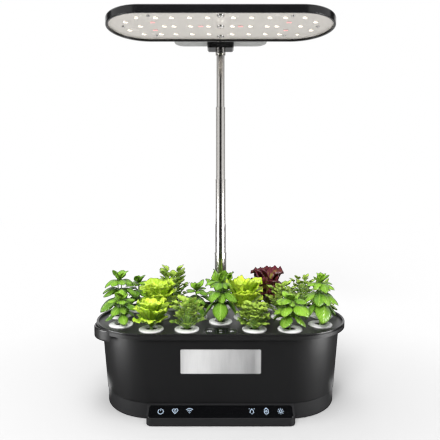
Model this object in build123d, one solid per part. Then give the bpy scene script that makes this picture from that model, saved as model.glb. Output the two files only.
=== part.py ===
from build123d import *
import os
from math import atan2, cos, degrees, hypot, radians, sin, tan

# Countertop hydroponic garden. Millimetres, +Z up, +X to the right, +Y to the back.
# Everything is laid out about the tank's centre line and moved at the end, so that the
# origin is the middle of the footprint on the table.

# ---------------------------------------------------------------- driving dimensions

# fits between pieces
slip = 0.3  # between pieces that lift or slide past each other
snug = 0.1  # round a piece that stays in its seat
running = 0.06  # radial, impeller on its pin

# base
base_length = 393.0
base_depth = 178.0
base_height = 26.0
base_wall = 2.5
foot_height = 1.5
foot_radius = 7.0
foot_recess = 1.0
foot_chamfer = 0.5
plate_thickness = 2.5
foot_places = ((-165.0, 0.0), (165.0, 0.0), (-85.0, 62.0), (85.0, 62.0), (-95.0, -98.0), (95.0, -98.0))
island_height = 2.5  # plateau that locates the tank

# console along the front of the base
console_width = 230.0
console_reach = 111.7
console_front_height = 12.4
console_back_reach = 91.7
console_back_height = 25.1
console_corner = 9.0
console_bezel = 1.4
console_side_bezel = 3.2
glass_thickness = 1.6
glass_corner = 4.0
glass_chamfer = 0.3

# case screws, from below
screw_places = ((-150.0, 24.0), (150.0, 24.0), (-70.0, 66.0), (70.0, 66.0), (-70.0, -58.0), (70.0, -58.0))
screw_radius = 1.5
screw_length = 12.0
screw_head_radius = 3.0
screw_head_height = 1.4
screw_slot_length = 4.0
screw_slot_width = 1.0
screw_slot_depth = 0.8
screw_boss_radius = 4.0

# control board
board_width = 176.0
board_depth = 36.0
board_thickness = 1.6
board_centre_y = -80.0
board_stand = 5.0
board_hole_inset = 5.0
peg_radius = 1.2
peg_foot_radius = 3.6
touch_chip = (14.0, 14.0, 2.0)  # width, depth, height of each part on the board
pump_plug = (10.0, 6.0, 4.0)
mains_plug = (18.0, 8.0, 5.0)
capacitor_radius = 3.0
capacitor_height = 6.0
capacitor_pitch = 8.0

# power inlet in the rear wall
inlet_x = 72.0
inlet_z = 13.5
inlet_width = 11.0
inlet_height = 10.0
inlet_length = 14.0
inlet_flange = 1.5
inlet_flange_thickness = 1.2
inlet_pin_setback = 1.0
socket_radius = 3.2
socket_depth = 9.5
socket_pin_radius = 1.0

# tank
tank_seam_length = 396.0
tank_seam_depth = 177.0
tank_wall = 2.2
tank_floor = 2.5
tank_height = 107.0
seam_gap = 1.0
seam_inset = 3.0
foot_ring_width = 3.0
tank_flange_width = 5.0
tank_flange_side = 4.3  # along the straight sides
tank_flange_height = 2.3

# bare plate on the tank's front
plate_width = 126.0
plate_height = 39.0
plate_sheet = 1.0
plate_corner = 2.0
plate_proud = 0.5
plate_centre_z = 93.5

# deck, which is the tank's lid
deck_length = 430.0
deck_depth = 196.6
deck_thickness = 2.5
lip_height = 4.5
lip_width = 3.0
lip_round = 1.2
skirt_wall = 2.4
skirt_drop = 2.4
skirt_end_gap = 2.1  # between the skirt and the tank's flange, at the middle of the round ends
skirt_side_gap = 0.6  # and along the straight sides
rib_height = 5.0
rib_width = 1.6
rib_clearance = 0.7

# lift grip at the left front of the deck
grip_angle = 214.0
grip_radius = 45.0
grip_proud = 7.0
grip_drop = 20.0
grip_top_step = 1.5
grip_wall = 2.2
grip_round = 2.5
grip_slot_depth = 15.0
grip_slot_setback = 1.4  # of the finger slot from the rim

# keypad on the deck
keypad_width = 57.0
keypad_depth = 34.0
keypad_inset = 29.3  # of its middle from the deck's front edge
keypad_recess = 1.0
keypad_wall = 0.6
button_radius = 8.4
button_spacing = 18.0
middle_button_width = 14.6
middle_button_depth = 25.0
middle_button_corner = 3.0
button_height = 3.1
button_travel = 0.8
button_floor = 1.5
button_round = 0.5
button_gap = 0.1  # under a key that is fully pressed
well_depth = 3.5

# seed pods
collar_radius = 20.0
collar_height = 3.0
collar_edge = 1.2
collar_shoulder = (3.2, 0.4)  # inset and drop of the crown's outer bend
collar_hole_radius = 10.0
collar_hole_chamfer = (1.2, 0.8)
basket_top_radius = 14.4
basket_bottom_radius = 11.4
basket_depth = 42.0
basket_wall = 1.3
basket_window_width = 5.0
basket_window_height = 24.0
basket_window_start = 4.0  # above the basket's bottom
basket_drain_radius = 4.0
sponge_clearance = 0.4

# the planting field: half its length and depth, out to the centres of the outermost pods
field_end_margin = 11.0  # between the outermost collars and the deck's lip
field_side_margin = 5.3

# for each pod: its place as shares of the half field, the height of its plant above the deck
# and the spread of its leaves, how it grows, and which way its first leaf points
pods = (
    (-0.928, -0.514, 50.0, 60.0, "bush", 20),
    (-0.624, -0.871, 45.0, 62.0, "rosette", 10),
    (-0.304, -0.871, 50.0, 58.0, "spray", 0),
    (0.304, -0.871, 42.0, 58.0, "spray", 25),
    (0.624, -0.871, 56.0, 62.0, "tall", 60),
    (0.928, -0.514, 86.0, 66.0, "tall", 10),
    (-1.0, 0.2, 78.0, 62.0, "tall", 35),
    (-0.608, 0.114, 62.0, 70.0, "rosette", 40),
    (-0.238, 0.086, 60.0, 58.0, "bush", 50),
    (0.0, -0.286, 82.0, 60.0, "tall", 0),
    (0.238, 0.086, 66.0, 80.0, "rosette", 0),
    (0.608, 0.114, 62.0, 68.0, "bush", 75),
    (1.0, 0.2, 62.0, 60.0, "bush", 5),
    (-0.856, 0.814, 62.0, 64.0, "bush", 30),
    (-0.508, 0.986, 82.0, 72.0, "spray", 40),
    (0.0, 1.0, 66.0, 56.0, "rosette", 20),
    (0.508, 0.986, 70.0, 76.0, "rosette", 55),
    (0.856, 0.814, 66.0, 64.0, "bush", 65),
)

# ways of growing. For each ring of leaves: how many, the direction of its first, the height
# of their roots, and the height and reach of their tips as shares of the plant's
growth = {
    "bush": ((4, 0, 0.2, 0.14, 1.0), (4, 45, 0.42, 0.46, 0.95), (4, 10, 0.6, 0.8, 0.75), (3, 60, 0.7, 1.0, 0.45)),
    "tall": ((4, 0, 0.3, 0.18, 0.95), (4, 45, 0.48, 0.5, 1.0), (4, 5, 0.66, 0.78, 0.8), (3, 40, 0.74, 1.0, 0.45)),
    "rosette": ((5, 0, 0.0, 0.3, 1.0), (5, 36, 0.06, 0.62, 0.95), (4, 15, 0.12, 0.9, 0.75), (2, 50, 0.18, 1.0, 0.45)),
    "spray": ((5, 0, 0.0, 0.3, 1.0), (5, 36, 0.06, 0.62, 0.9), (4, 10, 0.12, 0.9, 0.65), (2, 60, 0.18, 1.0, 0.35)),
}

# their leaves: width and stalk as shares of the length, where they are widest, degrees of arch
leaf_shapes = {
    "bush": (0.66, 0.14, 0.45, 85.0),
    "tall": (0.66, 0.14, 0.45, 85.0),
    "rosette": (0.6, 0.2, 0.75, 50.0),
    "spray": (0.42, 0.5, 0.5, 25.0),
}
leaf_sheet = 1.2
leaf_stalk_width = 2.0
leaf_swing = 12.0  # degrees that leaves of one ring turn to and fro
leaf_clearance = 4.0  # lowest leaf above the deck
leaf_plot_gap = 1.0  # free way between the leaves of two pods, so that each lifts out
stem_radius = 2.6
leaf_root_radius = 1.9  # where the stalks start, inside the stem

# pump in the tank
pump_x = 150.0
pump_width = 38.0
pump_depth = 30.0
pump_height = 28.0
pump_corner = 4.0
pump_cup_radius = 4.5
pump_cup_height = 3.0
chamber_radius = 11.0
chamber_depth = 11.0
impeller_radius = 9.5
impeller_hub_radius = 3.0
impeller_length = 7.5
impeller_vanes = 6
impeller_vane = 1.2
impeller_disc = 1.2
impeller_vane_inset = 0.4
pin_radius = 1.0
outlet_radius = 5.0
outlet_setback = 2.0
outlet_bore = 3.5
outlet_height = 12.0

# telescopic mast behind the tank
mast_reach = 112.0
mast_foot_height = 30.0
boss_radius = 15.6
boss_height = 62.0
boss_round = 2.0
boss_neck_width = 24.0
tube_wall = 0.7
first_tube_radius = 11.0
tube_tops = (237.0, 384.0, 525.0)
tube_overlaps = (25.0, 25.0, 60.0)
tube_lip = 0.35
tube_lip_height = 3.0

# knuckle and arm
knuckle_bottom = 635.6
knuckle_width = 51.0
knuckle_depth = 27.0
knuckle_forward = 1.5
knuckle_chamfer = 2.5
knuckle_corner = 3.5
knuckle_socket_depth = 8.0
mast_clearance = 2.0
ferrule_radius = 9.8
ferrule_height = 10.5
ferrule_round = 1.5
arm_thickness = 4.0
arm_width = 178.0
arm_corner = 20.0
arm_chamfer = 0.6
arm_overhang = 15.6
arm_bar_depth = 76.0
arm_tongue_width = 64.0
arm_tongue_reach = 55.0
arm_screw_spacing = 34.0
arm_screw_radius = 2.0
arm_screw_head_radius = 4.0
arm_screw_length = 12.0
screw_hole_spare = 1.0  # a blind hole's depth past its screw

# lamp
lamp_length = 385.0
lamp_depth = 131.2
lamp_centre_y = -3.3
lamp_bottom = 634.4
lamp_height = 13.2
lamp_rim = 3.5
lamp_top_wall = 2.0
lamp_round = 3.0
lamp_edge_round = 1.0
led_recess = 3.6
led_board_thickness = 1.6
led_board_clearance = 0.3
led_size = 3.4
led_height = 0.7
led_outer_row = 36.0
led_outer_x = (20.6, 50.0, 79.0, 104.5, 135.5)
led_middle_x = (20.3, 50.2, 78.5, 95.0, 135.0)
led_end = (156.5, 18.0)
led_pairs = ((33.6, 0.0), (112.5, -17.0), (112.5, 17.0))
led_pair_pitch = 4.6
lamp_bolt_spacing = 46.0
lamp_bolt_radius = 2.5
lamp_bolt_head_radius = 6.0
lamp_bolt_head_height = 2.6
lamp_bolt_edge = 0.3
lamp_screw_round = 0.8
lamp_screw_places = ((115.0, -44.0), (163.8, 0.0), (113.5, 42.0))
lamp_boss_radius = 4.5
lamp_bolt_boss_radius = 9.0

# ---------------------------------------------------------------- worked-out places

rest_height = foot_height
tank_top_length = deck_length - 2 * (skirt_wall + skirt_end_gap + tank_flange_width)
tank_top_depth = deck_depth - 2 * (skirt_wall + skirt_side_gap + tank_flange_side)
tank_bottom = base_height
tank_body_bottom = tank_bottom + seam_gap
tank_top = tank_bottom + tank_height
deck_surface = tank_top + deck_thickness
rim_top = deck_surface + lip_height
tank_recess = island_height + 0.5
tank_inside = tank_bottom + tank_recess + tank_floor
deck_end_x = (deck_length - deck_depth) / 2
keypad_centre_y = keypad_inset - deck_depth / 2
field_half_length = deck_length / 2 - lip_width - field_end_margin - collar_radius
field_half_depth = deck_depth / 2 - lip_width - field_side_margin - collar_radius
pod_places = [(pod[0] * field_half_length, pod[1] * field_half_depth) for pod in pods]
lamp_top = lamp_bottom + lamp_height
led_board_bottom = lamp_bottom + led_recess
led_board_top = led_board_bottom + led_board_thickness
mast_back = mast_reach + max(boss_radius, arm_overhang)
footprint_middle_y = (mast_back - console_reach) / 2
slope = atan2(console_back_height - console_front_height, console_reach - console_back_reach)
up_min = (Align.CENTER, Align.CENTER, Align.MIN)


# ---------------------------------------------------------------- common forms


def stadium(length, depth, z):
    """A flat outline with round ends, at height z."""
    return Pos(0, 0, z) * SlotOverall(length, depth)


def slab(length, depth, z_low, z_high):
    """An upright prism with round ends."""
    return extrude(stadium(length, depth, z_low), z_high - z_low)


def rod(radius, z_low, z_high, x=0.0, y=0.0):
    """An upright cylinder between two heights."""
    return Pos(x, y, z_low) * Cylinder(radius, z_high - z_low, align=up_min)


def block(width, depth, z_low, z_high, x=0.0, y=0.0):
    """An upright box between two heights."""
    return Pos(x, y, z_low) * Box(width, depth, z_high - z_low, align=up_min)


def both_sides(places):
    """Each place and its mirror image in X; a place on the centre line stays single."""
    mirrored = [(-x, y) for x, y in places if x]
    return list(places) + mirrored


# ---------------------------------------------------------------- base


def base_outline(inset, z):
    """Plan of the base and its console, shrunk by inset."""
    width = console_width - 2 * inset
    depth = console_reach - inset
    console = Pos(0, -depth / 2, z) * RectangleRounded(width, depth, console_corner - inset / 2)
    return stadium(base_length - 2 * inset, base_depth - 2 * inset, z) + console


def console_cut(lowered, inset):
    """The wedge above the console's slope, from a plane lowered below the glass by this much."""
    drop = lowered / cos(slope)
    front = console_front_height - drop
    back = console_back_height - drop
    reach = console_reach + inset
    fall = inset * tan(slope)
    side = Plane.YZ * Polygon(
        (-reach, front - fall),
        (-console_back_reach, back),
        (-console_back_reach + tank_flange_width, back),
        (-console_back_reach + tank_flange_width, base_height + drop),
        (-reach, base_height + drop),
        align=None,
    )
    return extrude(side, console_width, both=True)


def glass_plane():
    """Plane of the console's slope, with its origin in the middle of the slope."""
    middle_y = -(console_reach + console_back_reach) / 2
    middle_z = (console_front_height + console_back_height) / 2
    return Plane(origin=(0, middle_y, middle_z), x_dir=(1, 0, 0), z_dir=(0, -sin(slope), cos(slope)))


def glass_outline(gap):
    """The glass's rounded outline on the slope, grown by a gap."""
    slope_length = (console_reach - console_back_reach) / cos(slope)
    width = console_width - 2 * console_side_bezel + 2 * gap
    depth = slope_length - 2 * console_bezel + 2 * gap
    return glass_plane() * RectangleRounded(width, depth, glass_corner + gap)


def make_console_glass():
    glass = extrude(glass_outline(0), -glass_thickness)
    return chamfer(glass.faces().sort_by(Axis.Z)[-1].edges(), glass_chamfer)


def base_solid_form(inset, lowered, z_low, z_high):
    """The base and console as one closed form, outside (no inset) or inside its walls."""
    form = extrude(base_outline(inset, z_low), z_high - z_low)
    return form - console_cut(lowered, inset)


def make_base_shell():
    shell = base_solid_form(0, 0, rest_height, base_height)
    inner = base_solid_form(base_wall, glass_thickness + base_wall, rest_height, base_height - base_wall)
    boss = rod(boss_radius, rest_height, boss_height, 0, mast_reach)
    boss = fillet(boss.edges().group_by(Axis.Z)[-1], boss_round)
    neck_depth = mast_reach - base_depth / 2 + base_wall
    neck = block(boss_neck_width, neck_depth, rest_height, base_height, 0, mast_reach - neck_depth / 2)
    ring_length = tank_seam_length - 2 * (seam_inset + foot_ring_width + slip)
    ring_depth = tank_seam_depth - 2 * (seam_inset + foot_ring_width + slip)
    island = slab(ring_length, ring_depth, base_height, base_height + island_height)
    shell = shell - inner + boss + neck + island
    for x, y in screw_places:
        shell += rod(screw_boss_radius, rest_height + plate_thickness, base_height - base_wall, x, y)
    for x, y in screw_places:
        shell -= rod(screw_radius + snug / 2, rest_height, rest_height + screw_length + screw_hole_spare, x, y)
    shell -= rod(first_tube_radius + snug, mast_foot_height, boss_height, 0, mast_reach)
    shell -= extrude(glass_outline(snug), -glass_thickness)
    window = Box(inlet_width + 2 * snug, 4 * base_wall, inlet_height + 2 * snug)
    return shell - Pos(inlet_x, base_depth / 2, inlet_z) * window


def make_base_plate():
    top = rest_height + plate_thickness
    plate = extrude(base_outline(base_wall + snug, rest_height), plate_thickness)
    for x, y in foot_places:
        plate -= rod(foot_radius + snug, rest_height, rest_height + foot_recess, x, y)
    for x, y in screw_places:
        plate -= rod(screw_radius + snug, rest_height, top, x, y)
        plate -= rod(screw_head_radius + snug, rest_height, rest_height + screw_head_height, x, y)
    for x, y in board_holes():
        plate += rod(peg_foot_radius, top, top + board_stand, x, y)
        plate += rod(peg_radius, top, top + board_stand + board_thickness + peg_radius, x, y)
    return plate


def make_rubber_feet():
    feet = []
    for x, y in foot_places:
        foot = rod(foot_radius, 0, foot_height + foot_recess, x, y)
        feet.append(chamfer(foot.edges().group_by(Axis.Z)[0], foot_chamfer))
    return feet


def make_case_screws():
    screws = []
    for x, y in screw_places:
        head = rod(screw_head_radius, rest_height, rest_height + screw_head_height, x, y)
        shank = rod(screw_radius, rest_height, rest_height + screw_length, x, y)
        slot_top = rest_height + screw_slot_depth
        slot = block(screw_slot_width, screw_slot_length, rest_height, slot_top, x, y)
        cross = block(screw_slot_length, screw_slot_width, rest_height, slot_top, x, y)
        screws.append(head + shank - slot - cross)
    return screws


def board_holes():
    """Centres of the control board's four holes."""
    half_x = board_width / 2 - board_hole_inset
    half_y = board_depth / 2 - board_hole_inset
    return [(sx * half_x, board_centre_y + sy * half_y) for sx in (-1, 1) for sy in (-1, 1)]


def make_control_board():
    low = rest_height + plate_thickness + board_stand
    top = low + board_thickness
    board = block(board_width, board_depth, low, top, 0, board_centre_y)
    rear = board_centre_y + board_depth / 4
    places = ((touch_chip, -board_width / 6), (pump_plug, board_width / 6), (mains_plug, board_width * 0.3))
    for (width, depth, height), x in places:
        board += block(width, depth, top, top + height, x, rear)
    for index in range(3):
        x = index * capacitor_pitch - board_width / 3
        board += rod(capacitor_radius, top, top + capacitor_height, x, rear)
    for x, y in board_holes():
        board -= rod(peg_radius + snug, low, top, x, y)
    return board


def make_power_inlet():
    back = base_depth / 2
    body = Pos(inlet_x, back - inlet_length / 2, inlet_z) * Box(inlet_width, inlet_length, inlet_height)
    flange_box = Box(
        inlet_width + 2 * inlet_flange, inlet_flange_thickness, inlet_height + 2 * inlet_flange
    )
    flange = Pos(inlet_x, back + inlet_flange_thickness / 2, inlet_z) * flange_box
    mouth = Plane(origin=(inlet_x, back + inlet_flange_thickness, inlet_z), z_dir=(0, -1, 0))
    socket = mouth * Cylinder(socket_radius, socket_depth, align=up_min)
    pin = mouth * Pos(0, 0, inlet_pin_setback) * Cylinder(socket_pin_radius, socket_depth, align=up_min)
    return body + flange - socket + pin


# ---------------------------------------------------------------- tank


def tank_outline(z, inset):
    """The tank's tapering outline at a height, shrunk by inset."""
    share = (z - tank_body_bottom) / (tank_top - tank_body_bottom)
    length = tank_seam_length + share * (tank_top_length - tank_seam_length)
    depth = tank_seam_depth + share * (tank_top_depth - tank_seam_depth)
    return stadium(length - 2 * inset, depth - 2 * inset, z)


def tank_form(z_low, z_high, inset):
    """The tapering body between two heights."""
    return loft([tank_outline(z_low, inset), tank_outline(z_high, inset)], ruled=True)


def front_wall_plane(z):
    """Plane of the tank's front wall at a height, facing forwards."""
    lean = atan2((tank_top_depth - tank_seam_depth) / 2, tank_top - tank_body_bottom)
    share = (z - tank_body_bottom) / (tank_top - tank_body_bottom)
    half_depth = (tank_seam_depth + share * (tank_top_depth - tank_seam_depth)) / 2
    return Plane(origin=(0, -half_depth, z), x_dir=(1, 0, 0), z_dir=(0, -cos(lean), -sin(lean)))


def plate_form(gap):
    """The bare plate let into the tank's front wall, grown by a gap."""
    outline = RectangleRounded(plate_width + 2 * gap, plate_height + 2 * gap, plate_corner + gap)
    start = Pos(0, 0, plate_proud - plate_sheet) * outline
    return front_wall_plane(plate_centre_z) * extrude(start, plate_sheet)


def make_tank():
    tank = tank_form(tank_body_bottom, tank_top, 0)
    flange_z = tank_top - tank_flange_height
    flange_length = tank_top_length + 2 * tank_flange_width
    flange_depth = tank_top_depth + 2 * tank_flange_side
    tank += slab(flange_length, flange_depth, flange_z, tank_top)
    foot_length = tank_seam_length - 2 * seam_inset
    foot_depth = tank_seam_depth - 2 * seam_inset
    tank += slab(foot_length, foot_depth, tank_bottom, tank_body_bottom)
    tank -= slab(
        foot_length - 2 * foot_ring_width,
        foot_depth - 2 * foot_ring_width,
        tank_bottom,
        tank_bottom + tank_recess,
    )
    tank -= tank_form(tank_inside, tank_top, tank_wall)
    return tank - plate_form(snug)


def make_nameplate():
    return plate_form(0)


# ---------------------------------------------------------------- deck


def make_deck_lid():
    skirt_bottom = tank_top - skirt_drop
    lid = slab(deck_length, deck_depth, skirt_bottom, rim_top)
    lid -= slab(deck_length - 2 * skirt_wall, deck_depth - 2 * skirt_wall, skirt_bottom, tank_top)
    lid -= slab(deck_length - 2 * lip_width, deck_depth - 2 * lip_width, deck_surface, rim_top)
    lid = fillet(lid.edges().group_by(Axis.Z)[-1], lip_round)
    rib_out = tank_wall + rib_clearance
    rib = extrude(tank_outline(tank_top - rib_height, rib_out), rib_height)
    rib -= extrude(tank_outline(tank_top - rib_height, rib_out + rib_width), rib_height)
    lid += rib
    lid += keypad_pocket()
    lid += grip()
    for x, y in pod_places:
        lid -= rod(basket_top_radius + slip, skirt_bottom - rib_height, rim_top, x, y)
    lid -= keypad_outline(0, deck_surface - keypad_recess, deck_surface)
    for form in button_forms(slip):
        lid -= form
    return lid


def keypad_outline(grow, z_low, z_high):
    """The keypad's capsule, grown by a wall."""
    return Pos(0, keypad_centre_y, 0) * slab(
        keypad_width + 2 * grow, keypad_depth + 2 * grow, z_low, z_high
    )


def keypad_pocket():
    """The closed well block under the deck that holds the buttons."""
    floor = deck_surface - keypad_recess - well_depth - button_floor
    return keypad_outline(keypad_wall, floor, tank_top)


def button_outlines(gap):
    """Outlines of the three buttons, grown by a gap."""
    round_button = Circle(button_radius + gap)
    middle = RectangleRounded(
        middle_button_width + 2 * gap, middle_button_depth + 2 * gap, middle_button_corner + gap
    )
    left_place = Pos(-button_spacing, keypad_centre_y, 0)
    right_place = Pos(button_spacing, keypad_centre_y, 0)
    return [left_place * round_button, Pos(0, keypad_centre_y, 0) * middle, right_place * round_button]


def button_forms(gap):
    """The buttons' wells in the deck."""
    low = deck_surface - keypad_recess - well_depth
    return [extrude(Pos(0, 0, low) * outline, well_depth) for outline in button_outlines(gap)]


def make_button(index):
    low = deck_surface - keypad_recess - well_depth + button_travel + button_gap
    button = extrude(Pos(0, 0, low) * button_outlines(0)[index], button_height)
    return fillet(button.edges().group_by(Axis.Z)[-1], button_round)


def grip():
    """A crescent handle under the rim, with a finger slot behind its outer wall."""
    end_centre = Vector(-deck_end_x, 0, 0)
    outward = Vector(cos(radians(grip_angle)), sin(radians(grip_angle)), 0)
    end_radius = deck_depth / 2
    centre = end_centre + outward * (end_radius + grip_proud - grip_radius)
    low = rim_top - grip_drop
    high = rim_top - grip_top_step
    body = rod(grip_radius, low, high, centre.X, centre.Y)
    body = fillet(body.edges(), grip_round)
    inside = rod(end_radius - skirt_wall / 2, low, high, end_centre.X, 0)
    slot = rod(grip_radius - grip_wall, high - grip_slot_depth, high, centre.X, centre.Y)
    slot -= rod(end_radius + grip_slot_setback, low, high, end_centre.X, 0)
    return body - inside - slot


# ---------------------------------------------------------------- pods and plants


def make_pod(x, y):
    """A white basket with its collar: turned as one form, then four windows are cut."""
    wall_top = basket_top_radius - basket_wall
    wall_bottom = basket_bottom_radius - basket_wall
    hole_edge = (collar_hole_radius + collar_hole_chamfer[0], collar_height)
    collar_crown = Spline(
        (collar_radius, collar_edge),
        (collar_radius - collar_shoulder[0], collar_height - collar_shoulder[1]),
        hole_edge,
        tangents=((-0.5, 1.0), (-1.0, -0.02)),
    )
    rest = Polyline(
        hole_edge,
        (collar_hole_radius, collar_height - collar_hole_chamfer[1]),
        (collar_hole_radius, -basket_wall),
        (wall_top, -basket_wall),
        (wall_bottom, basket_wall - basket_depth),
        (basket_drain_radius, basket_wall - basket_depth),
        (basket_drain_radius, -basket_depth),
        (basket_bottom_radius, -basket_depth),
        (basket_top_radius, 0),
        (collar_radius, 0),
        (collar_radius, collar_edge),
    )
    section = Plane.XZ * make_face(collar_crown + rest)
    pod = revolve(section, Axis.Z)
    window_low = basket_window_start - basket_depth
    for turn in (0, 90):
        window = block(
            basket_window_width, 2 * collar_radius, window_low, window_low + basket_window_height
        )
        pod -= Rot(0, 0, turn + 45) * window
    return Pos(x, y, deck_surface) * pod


def leaf_plot(x, y):
    """The part of the deck's plan that a plant's leaves may fill, seen from above."""
    plot = Pos(x, y) * Circle(deck_length / 4)
    side = Rectangle(deck_length / 2, deck_length, align=(Align.MIN, Align.CENTER))
    for other_x, other_y in pod_places:
        away = Vector(other_x - x, other_y - y, 0)
        if 0 < away.length < deck_length / 3:
            start = away.length / 2 - leaf_plot_gap / 2
            turn = degrees(atan2(away.Y, away.X))
            plot -= Pos(x, y) * Rot(0, 0, turn) * Pos(start, 0) * side
    mast_side = mast_reach - first_tube_radius - mast_clearance
    return plot - Pos(x, mast_side) * Rot(0, 0, 90) * side


def make_leaf(length, shape):
    """A leaf along +X from its root: an arched sheet, cut to its outline and on its stalk."""
    width_share, stalk_share, widest, arch = shape
    rise = length / 2 * tan(radians(arch) / 4)
    top = ThreePointArc((0, 0), (length / 2, rise), (length, 0))
    bottom = ThreePointArc((length, -leaf_sheet), (length / 2, rise - leaf_sheet), (0, -leaf_sheet))
    ends = Line((length, 0), (length, -leaf_sheet)) + Line((0, -leaf_sheet), (0, 0))
    stalk = stalk_share * length
    reach = stalk + widest * (length - stalk)
    half = width_share * length / 2
    neck = leaf_stalk_width / 2
    sheet = extrude(Plane.XZ * make_face(top + bottom + ends), half, both=True)
    tip = ThreePointArc((reach, half), (length, 0), (reach, -half))
    base = Polyline((reach, -half), (stalk, -neck), (0, -neck), (0, neck), (stalk, neck), (reach, half))
    return sheet & extrude(Pos(0, 0, -leaf_sheet) * make_face(tip + base), rise + 2 * leaf_sheet)


def make_plant(x, y, height, spread, way, turn):
    """A plant rooted in its grow sponge, its leaves set in rings on one stem."""
    leaf_floor = deck_surface + leaf_clearance
    sponge_low = deck_surface - basket_depth + basket_wall
    sponge_bottom = basket_bottom_radius - basket_wall - sponge_clearance
    sponge_top = collar_hole_radius - sponge_clearance
    sponge = Pos(x, y, sponge_low) * Cone(
        sponge_bottom, sponge_top, deck_surface - sponge_low, align=up_min
    )
    leaves = []
    for count, first, root_share, tip_share, reach_share in growth[way]:
        reach = reach_share * spread / 2 - leaf_root_radius
        lift = (tip_share - root_share) * height
        leaf = make_leaf(hypot(reach, lift), leaf_shapes[way])
        leaf = Rot(0, -degrees(atan2(lift, reach)), 0) * leaf
        for index in range(count):
            swing = leaf_swing * sin(2 * index + first)
            direction = turn + first + index * 360 / count + swing - 90
            root = Pos(x, y, leaf_floor + root_share * height)
            leaves.append(root * Rot(0, 0, direction) * Pos(leaf_root_radius, 0, 0) * leaf)
    plot = extrude(Pos(0, 0, leaf_floor) * leaf_plot(x, y), 2 * height)
    leaves = [leaf & plot for leaf in leaves]
    stem_top = leaf_floor + growth[way][-1][2] * height + stem_radius
    stem = rod(stem_radius, deck_surface - stem_radius, stem_top, x, y)
    plant = sponge + [stem, *leaves]
    return plant.solids().sort_by(SortBy.VOLUME)[-1]


# ---------------------------------------------------------------- pump


def pump_axis():
    """The impeller's axis: a plane at the chamber's mouth, facing forwards."""
    low = tank_inside + pump_cup_height
    return Plane(origin=(pump_x, -pump_depth / 2, low + pump_height / 2), z_dir=(0, -1, 0))


def make_pump_body():
    low = tank_inside + pump_cup_height
    top = low + pump_height
    outline = Pos(pump_x, 0, low) * RectangleRounded(pump_width, pump_depth, pump_corner)
    pump = extrude(outline, pump_height)
    cup_x = pump_width / 2 - pump_cup_radius
    cup_y = pump_depth / 2 - pump_cup_radius
    for sx in (-1, 1):
        for sy in (-1, 1):
            pump += rod(pump_cup_radius, tank_inside, low, pump_x + sx * cup_x, sy * cup_y)
    outlet_y = pump_depth / 2 - outlet_radius - outlet_setback
    pump += rod(outlet_radius, top, top + outlet_height, pump_x, outlet_y)
    pump -= rod(outlet_bore, low + pump_height / 2, top + outlet_height, pump_x, outlet_y)
    mouth = pump_axis()
    inward = (Align.CENTER, Align.CENTER, Align.MAX)
    pump -= mouth * Cylinder(chamber_radius, chamber_depth, align=inward)
    pin = mouth * Cylinder(pin_radius, chamber_depth, align=inward)
    return pump + pin


def make_pump_impeller():
    """A hub with straight vanes on a back disc, bored for the pump's pin."""
    mouth = pump_axis()
    seat = Pos(0, 0, -chamber_depth + slip)
    disc = Cylinder(impeller_radius, impeller_disc, align=up_min)
    hub = Cylinder(impeller_hub_radius, impeller_length, align=up_min)
    wheel = disc + hub
    for index in range(impeller_vanes):
        vane = Box(impeller_radius - impeller_vane_inset, impeller_vane, impeller_length, align=up_min)
        vane = Pos(impeller_radius / 2, 0, 0) * vane
        wheel += Rot(0, 0, index * 360 / impeller_vanes) * vane
    wheel -= Cylinder(pin_radius + running, impeller_length, align=up_min)
    return mouth * seat * wheel


# ---------------------------------------------------------------- mast and lamp


def tube_radius(index):
    """Outer radius of a mast tube: each slides inside the one before."""
    return first_tube_radius - index * (tube_wall + slip)


def make_mast_tube(index):
    knuckle_end = knuckle_bottom + knuckle_socket_depth
    tops = tube_tops + (knuckle_end,)
    if index == 0:
        low = mast_foot_height
    else:
        low = tops[index - 1] - tube_overlaps[index - 1]
    radius = tube_radius(index)
    tube = rod(radius, low, tops[index], 0, mast_reach)
    if index == len(tube_tops):
        ferrule_low = knuckle_bottom - ferrule_height
        ferrule = rod(ferrule_radius, ferrule_low, knuckle_bottom, 0, mast_reach)
        tube += fillet(ferrule.edges().group_by(Axis.Z)[0], ferrule_round)
    else:
        tube += rod(radius + tube_lip, tops[index] - tube_lip_height, tops[index], 0, mast_reach)
        tube = fillet(tube.edges().group_by(Axis.Z)[-1], tube_lip)
    return tube - rod(radius - tube_wall, low, tops[index], 0, mast_reach)


def make_mast_knuckle():
    last = len(tube_tops)
    middle_y = mast_reach - knuckle_forward
    knuckle = block(knuckle_width, knuckle_depth, knuckle_bottom, lamp_top, 0, middle_y)
    low_side_edges = knuckle.edges().group_by(Axis.Z)[0].filter_by(Axis.Y)
    knuckle = chamfer(low_side_edges, knuckle_chamfer)
    knuckle = chamfer(knuckle.edges().filter_by(Axis.Z).group_by(Axis.Y)[0], knuckle_corner)
    hole_top = knuckle_bottom + knuckle_socket_depth
    knuckle -= rod(tube_radius(last) + snug, knuckle_bottom, hole_top, 0, mast_reach)
    for x in (-arm_screw_spacing / 2, arm_screw_spacing / 2):
        hole_low = lamp_top + arm_thickness - arm_screw_length - screw_hole_spare
        knuckle -= rod(arm_screw_radius + snug / 2, hole_low, lamp_top, x, mast_reach)
    return knuckle


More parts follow.
